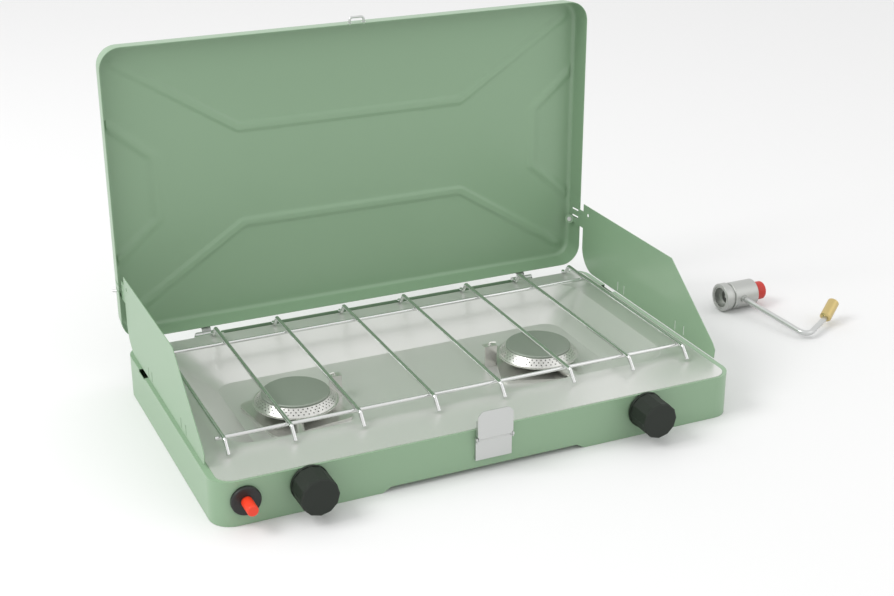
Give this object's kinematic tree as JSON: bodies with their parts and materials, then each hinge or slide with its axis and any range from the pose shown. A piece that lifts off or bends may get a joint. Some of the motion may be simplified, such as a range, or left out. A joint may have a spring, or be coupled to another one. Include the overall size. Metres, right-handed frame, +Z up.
{
  "type": "camping stove",
  "caption": "Folding two-burner gas camping stove with hinged lid, side windscreens, lift-out wire grate, knobs, push igniter and a loose gas regulator.",
  "frame": {"origin": "centre of the flat underside of the base, on the ground", "axes": "+X to the right seen from the knobs, +Y to the back where the lid is hinged, +Z up"},
  "size_m": [0.8169, 0.3913, 0.3786],
  "materials": {
    "green_paint": "satin powder coat",
    "deck_steel": "satin plated sheet",
    "burner_alu": "cast, matt",
    "burner_steel": "stamped sheet",
    "chrome_wire": "bright wire",
    "zinc": "zinc plated",
    "knob_green": "dark moulded plastic",
    "black_plastic": "moulded plastic",
    "red_button": "glossy",
    "red_cap": "satin",
    "ceramic": "glazed ceramic",
    "lead_rubber": "wire insulation",
    "brass": "turned brass",
    "zinc_cast": "die-cast, satin"
  },
  "bodies": {
    "stove_base": {"base_shell": "green_paint", "cooktop_tray": "deck_steel", "burner_cap_left": "burner_alu", "burner_ring_left": "burner_steel", "burner_bowl_left": "burner_steel", "burner_plate_left": "burner_steel", "venturi_tube_left": "burner_steel", "electrode_left": "ceramic", "electrode_bracket_left": "burner_steel", "valve_body_left": "brass", "burner_cap_right": "burner_alu", "burner_ring_right": "burner_steel", "burner_bowl_right": "burner_steel", "burner_plate_right": "burner_steel", "venturi_tube_right": "burner_steel", "electrode_right": "ceramic", "electrode_bracket_right": "burner_steel", "valve_body_right": "brass", "gas_manifold": "zinc", "inlet_fitting": "brass", "igniter_bezel": "black_plastic", "piezo_body": "black_plastic", "ignition_leads": "lead_rubber", "latch_bracket": "zinc", "latch_pin": "zinc", "hinge_base_leaves": "zinc", "hinge_rods": "zinc", "hinge_rivets_base": "zinc"},
    "lid": {"lid_shell": "green_paint", "lid_catch": "zinc", "hinge_lid_leaves": "zinc", "hinge_rivets_lid": "zinc", "windscreen_pivot_left": "zinc", "windscreen_pivot_right": "zinc"},
    "screen_left": {"windscreen_left": "green_paint"},
    "screen_right": {"windscreen_right": "green_paint"},
    "latch": {"latch_flap": "zinc"},
    "dial_left": {"knob_left": "knob_green", "valve_stem_left": "brass"},
    "dial_right": {"knob_right": "knob_green", "valve_stem_right": "brass"},
    "igniter": {"igniter_button": "red_button"},
    "grate": {"grate_long_wires": "chrome_wire", "grate_cross_wires": "chrome_wire"},
    "regulator": {"regulator_body": "zinc_cast", "regulator_ring": "zinc_cast", "regulator_socket": "zinc_cast", "regulator_cap": "red_cap", "regulator_tube": "zinc"},
    "nut": {"hose_nut": "brass"}
  },
  "joints": [
    {"name": "lid_hinge", "type": "hinge", "parent": "stove_base", "child": "lid", "pos_m": [0, 0.1665, 0.0448], "axis": [-1, 0, 0], "range_deg": [-90, 0]},
    {"name": "windscreen_left_fold", "type": "hinge", "parent": "lid", "child": "screen_left", "pos_m": [-0.2736, 0.1845, 0.104], "axis": [0.6999, -0.6999, 0.1424], "range_deg": [-163.8, 0]},
    {"name": "windscreen_right_fold", "type": "hinge", "parent": "lid", "child": "screen_right", "pos_m": [0.2736, 0.1845, 0.104], "axis": [0.6999, 0.6999, -0.1424], "range_deg": [-163.8, 0]},
    {"name": "latch_pivot", "type": "hinge", "parent": "stove_base", "child": "latch", "pos_m": [0, -0.1676, 0.037], "axis": [1, 0, 0], "range_deg": [-4, 150]},
    {"name": "knob_left_turn", "type": "hinge", "parent": "stove_base", "child": "dial_left", "pos_m": [-0.189, -0.165, 0.0295], "axis": [0, 1, 0], "range_deg": [0, 270]},
    {"name": "knob_right_turn", "type": "hinge", "parent": "stove_base", "child": "dial_right", "pos_m": [0.171, -0.165, 0.0295], "axis": [0, 1, 0], "range_deg": [0, 270]},
    {"name": "igniter_press", "type": "slide", "parent": "stove_base", "child": "igniter", "axis": [0, 1, 0], "range_m": [0, 0.0045], "stiffness_N_per_m": 800, "springref_m": -0.002},
    {"name": "grate_lift", "type": "slide", "parent": "stove_base", "child": "grate", "axis": [0, 0, 1], "range_m": [0, 0.12]},
    {"name": "regulator_lift", "type": "slide", "parent": "stove_base", "child": "regulator", "axis": [0, 0, 1], "range_m": [0, 0.15]},
    {"name": "hose_nut_spin", "type": "hinge", "parent": "regulator", "child": "nut", "pos_m": [0.508, -0.02, 0.0106], "axis": [0.7755, 0.4879, 0.4007], "continuous": true}
  ],
  "couplings": [
    {"joint": "windscreen_left_fold", "follows": "lid_hinge", "ratio": 1.8199},
    {"joint": "windscreen_right_fold", "follows": "lid_hinge", "ratio": 1.8199}
  ]
}
